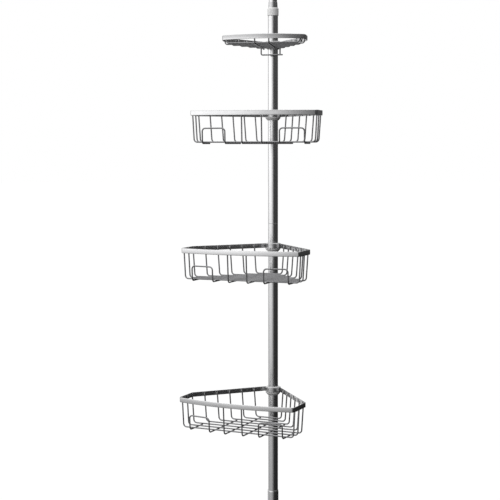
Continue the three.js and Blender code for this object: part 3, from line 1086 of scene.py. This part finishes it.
class CADDY_OT_clamps(CaddyOperator, bpy.types.Operator):
    """Adds the split plastic clamps that hold the shelves on the pole"""

    bl_idname = "caddy.clamps"
    bl_label = "Clamps"

    split: bpy.props.FloatProperty(
        name="Split", description="Angle left open at each split", default=0.012, subtype="ANGLE"
    )

    def execute(self, context):
        for shelf in all_shelves():
            for part, begin in (("clamp_front", -math.pi), ("clamp_back", 0.0)):
                bm = turned(
                    clamp_profile(shelf),
                    context.scene.caddy_sizes.clamp_edge,
                    ROUND_STEPS // 2,
                    math.pi - 2 * self.split,
                    begin + self.split,
                )
                bmesh.ops.transform(bm, matrix=shelf.hub_matrix(), verts=bm.verts)
                node = f"{shelf.name}_{part}"
                body = f"{shelf.name}_clamp"
                finish_piece(bm, f"{node}_half", grey_plastic(), body, "grey_plastic", node)
        return {"FINISHED"}


class CADDY_OT_inner_parts(CaddyOperator, bpy.types.Operator):
    """Gives the frame's hidden pieces their finish"""

    bl_idname = "caddy.inner_parts"
    bl_label = "Inner parts"

    def execute(self, context):
        finishes = {
            "tube_coupler": (spring_steel(), "spring_steel"),
            "collet": (dark_plastic(), "dark_plastic"),
            "inner_end_plug": (dark_plastic(), "dark_plastic"),
            "spring_seat": (dark_plastic(), "dark_plastic"),
        }
        for node, (material, slot) in finishes.items():
            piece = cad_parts[node]
            piece.data.materials.clear()
            piece.data.materials.append(material)
        return {"FINISHED"}


# ---- stage --------------------------------------------------------------------------------------
def add_camera(scene):
    """A long lens a little above the middle of the pole, tilted down."""
    camera = bpy.data.objects.new("Camera", bpy.data.cameras.new("Camera"))
    camera.data.lens = CAMERA_LENS
    camera.location = (
        CAMERA_DISTANCE * math.sin(CAMERA_AZIMUTH),
        -CAMERA_DISTANCE * math.cos(CAMERA_AZIMUTH),
        CAMERA_HEIGHT,
    )
    camera.rotation_euler = (math.pi / 2 - CAMERA_PITCH, CAMERA_ROLL, CAMERA_AZIMUTH + CAMERA_SWING)
    scene.collection.objects.link(camera)
    scene.camera = camera


def add_floor(scene):
    """A wide white floor, which leaves what the steel mirrors to the room."""
    bm = bmesh.new()
    bmesh.ops.create_circle(bm, cap_ends=True, segments=96, radius=FLOOR_RADIUS)
    mesh = bpy.data.meshes.new("Floor")
    bm.to_mesh(mesh)
    bm.free()
    floor = bpy.data.objects.new("Floor", mesh)
    scene.collection.objects.link(floor)
    material = bpy.data.materials.new("Floor")
    material.use_nodes = True
    tree = material.node_tree
    tree.nodes.clear()
    out = tree.nodes.new("ShaderNodeOutputMaterial")
    pale = tree.nodes.new("ShaderNodeEmission")
    pale.inputs["Color"].default_value = (FLOOR_GLOW, FLOOR_GLOW, FLOOR_GLOW, 1)
    white = tree.nodes.new("ShaderNodeBsdfDiffuse")
    white.inputs["Color"].default_value = (FLOOR_WHITE, FLOOR_WHITE, FLOOR_WHITE, 1)
    both = tree.nodes.new("ShaderNodeAddShader")
    tree.links.new(pale.outputs[0], both.inputs[0])
    tree.links.new(white.outputs[0], both.inputs[1])
    tree.links.new(both.outputs[0], out.inputs["Surface"])
    mesh.materials.append(material)
    floor.visible_glossy = False
    floor.visible_diffuse = False


def from_camera(side, front, up):
    """A direction from how far it points to the camera's right, towards the camera and up."""
    right = Vector((math.cos(CAMERA_AZIMUTH), math.sin(CAMERA_AZIMUTH), 0))
    near = Vector((math.sin(CAMERA_AZIMUTH), -math.cos(CAMERA_AZIMUTH), 0))
    return right * side + near * front + Z * up


def add_lights(scene):
    """Softboxes at the left and overhead, out of the steel's reflections, which the room makes."""
    for name, (place, (width, height), power) in SOFTBOXES.items():
        offset = from_camera(*place)
        lamp = bpy.data.lights.new(name, "AREA")
        lamp.shape = "RECTANGLE"
        lamp.size = width
        lamp.size_y = height
        lamp.energy = power
        light = bpy.data.objects.new(name, lamp)
        light.location = LIGHT_TARGET + offset
        light.rotation_euler = (-offset).to_track_quat("-Z", "Y").to_euler()
        light.visible_glossy = False
        scene.collection.objects.link(light)


def smooth_share(tree, value, low, high):
    """A value's share of the way from low to high, eased at both ends."""
    share = add_node(tree, "ShaderNodeMapRange", From_Min=low, From_Max=high)
    share.interpolation_type = "SMOOTHSTEP"
    tree.links.new(value, share.inputs["Value"])
    return share.outputs[0]


def blended(tree, factor, first, second):
    """A brightness that goes from the first to the second with a factor."""
    mix = tree.nodes.new("ShaderNodeMix")
    tree.links.new(factor, mix.inputs["Factor"])
    for side, value in (("A", first), ("B", second)):
        if isinstance(value, float):
            mix.inputs[side].default_value = value
        else:
            tree.links.new(value, mix.inputs[side])
    return mix.outputs["Result"]


def brightness_ramp(tree, height, stops):
    """Brightness by the height of a direction, which runs from 0 straight down to 1 straight up."""
    ramp = tree.nodes.new("ShaderNodeValToRGB")
    tree.links.new(height, ramp.inputs["Fac"])
    for i, (level, value) in enumerate(stops):
        stop = ramp.color_ramp.elements[i] if i < 2 else ramp.color_ramp.elements.new(1.0)
        stop.position = (level + 1) / 2
        stop.color = (value, value, value, 1)
    return ramp.outputs["Color"]


def brightest_side(tree, z):
    """The level direction that the room's bright half is centred on, a little nearer low down."""
    low, high = BRIGHT_RISE
    rising = add_node(tree, "ShaderNodeMapRange", From_Min=low, From_Max=high)
    tree.links.new(z, rising.inputs["Value"])
    mix = add_node(tree, "ShaderNodeMix", data_type="VECTOR")
    tree.links.new(rising.outputs[0], mix.inputs["Factor"])
    below, above = (socket for socket in mix.inputs if socket.type == "VECTOR" and socket.enabled)
    below.default_value = from_camera(*BRIGHT_BELOW, 0)
    above.default_value = from_camera(*BRIGHT_ABOVE, 0)
    return next(socket for socket in mix.outputs if socket.enabled)


def add_world(scene):
    """A plain white room, bright at the left and overhead and dim at the right and below."""
    world = bpy.data.worlds.new("Studio")
    world.use_nodes = True
    scene.world = world
    tree = world.node_tree
    tree.nodes.clear()
    link = tree.links.new
    direction = tree.nodes.new("ShaderNodeTexCoord").outputs["Generated"]
    split = tree.nodes.new("ShaderNodeSeparateXYZ")
    link(direction, split.inputs[0])
    z = split.outputs["Z"]

    height = add_node(tree, "ShaderNodeMapRange", From_Min=-1.0, From_Max=1.0)
    link(z, height.inputs["Value"])
    left = brightness_ramp(tree, height.outputs[0], ROOM_LEFT)
    right = brightness_ramp(tree, height.outputs[0], ROOM_RIGHT)
    facing = add_node(tree, "ShaderNodeVectorMath", operation="DOT_PRODUCT")
    link(direction, facing.inputs[0])
    link(brightest_side(tree, z), facing.inputs[1])
    room = blended(tree, smooth_share(tree, facing.outputs["Value"], *ROOM_SPLIT), right, left)

    behind = add_node(tree, "ShaderNodeVectorMath", operation="DOT_PRODUCT")
    link(direction, behind.inputs[0])
    behind.inputs[1].default_value = from_camera(*BACKDROP_SIDE, 0)
    backdrop = smooth_share(tree, behind.outputs["Value"], *BACKDROP_EDGE)
    closed = blended(tree, backdrop, room, BACKDROP)

    path = tree.nodes.new("ShaderNodeLightPath")
    background = tree.nodes.new("ShaderNodeBackground")
    background.inputs["Color"].default_value = (1, 1, 1, 1)
    link(blended(tree, path.outputs["Is Camera Ray"], closed, 1.0), background.inputs["Strength"])
    out = tree.nodes.new("ShaderNodeOutputWorld")
    link(background.outputs[0], out.inputs["Surface"])


# ---- the add-on ---------------------------------------------------------------------------------
OPERATORS = (
    CADDY_OT_stage,
    CADDY_OT_tubes,
    CADDY_OT_lock_collar,
    CADDY_OT_pole_ends,
    CADDY_OT_tension,
    CADDY_OT_rims,
    CADDY_OT_wires,
    CADDY_OT_guards,
    CADDY_OT_clamps,
    CADDY_OT_inner_parts,
)


class CADDY_PT_panel(bpy.types.Panel):
    """Lists the caddy's pieces in the sidebar"""

    bl_idname = "CADDY_PT_panel"
    bl_label = "Shower Caddy"
    bl_space_type = "VIEW_3D"
    bl_region_type = "UI"
    bl_category = "Caddy"

    def draw(self, context):
        for group in (context.scene.caddy_sizes, context.scene.caddy_finishes):
            for prop in group.__annotations__:
                self.layout.prop(group, prop)
        for operator in OPERATORS:
            self.layout.operator(operator.bl_idname)


CLASSES = (CaddySizes, CaddyFinishes, *OPERATORS, CADDY_PT_panel)


def register():
    """Adds the classes and their settings to Blender."""
    for item in CLASSES:
        bpy.utils.register_class(item)
    bpy.types.Scene.caddy_sizes = bpy.props.PointerProperty(type=CaddySizes)
    bpy.types.Scene.caddy_finishes = bpy.props.PointerProperty(type=CaddyFinishes)


def unregister():
    """Takes them away again."""
    del bpy.types.Scene.caddy_finishes
    del bpy.types.Scene.caddy_sizes
    for item in reversed(CLASSES):
        bpy.utils.unregister_class(item)


def main():
    """Builds the stage and every piece."""
    register()
    bpy.ops.caddy.stage()
    bpy.ops.caddy.tubes()
    bpy.ops.caddy.lock_collar()
    bpy.ops.caddy.pole_ends()
    bpy.ops.caddy.tension()
    bpy.ops.caddy.rims()
    bpy.ops.caddy.wires()
    bpy.ops.caddy.guards()
    bpy.ops.caddy.clamps()
    bpy.ops.caddy.inner_parts()


if __name__ == "__main__":
    main()
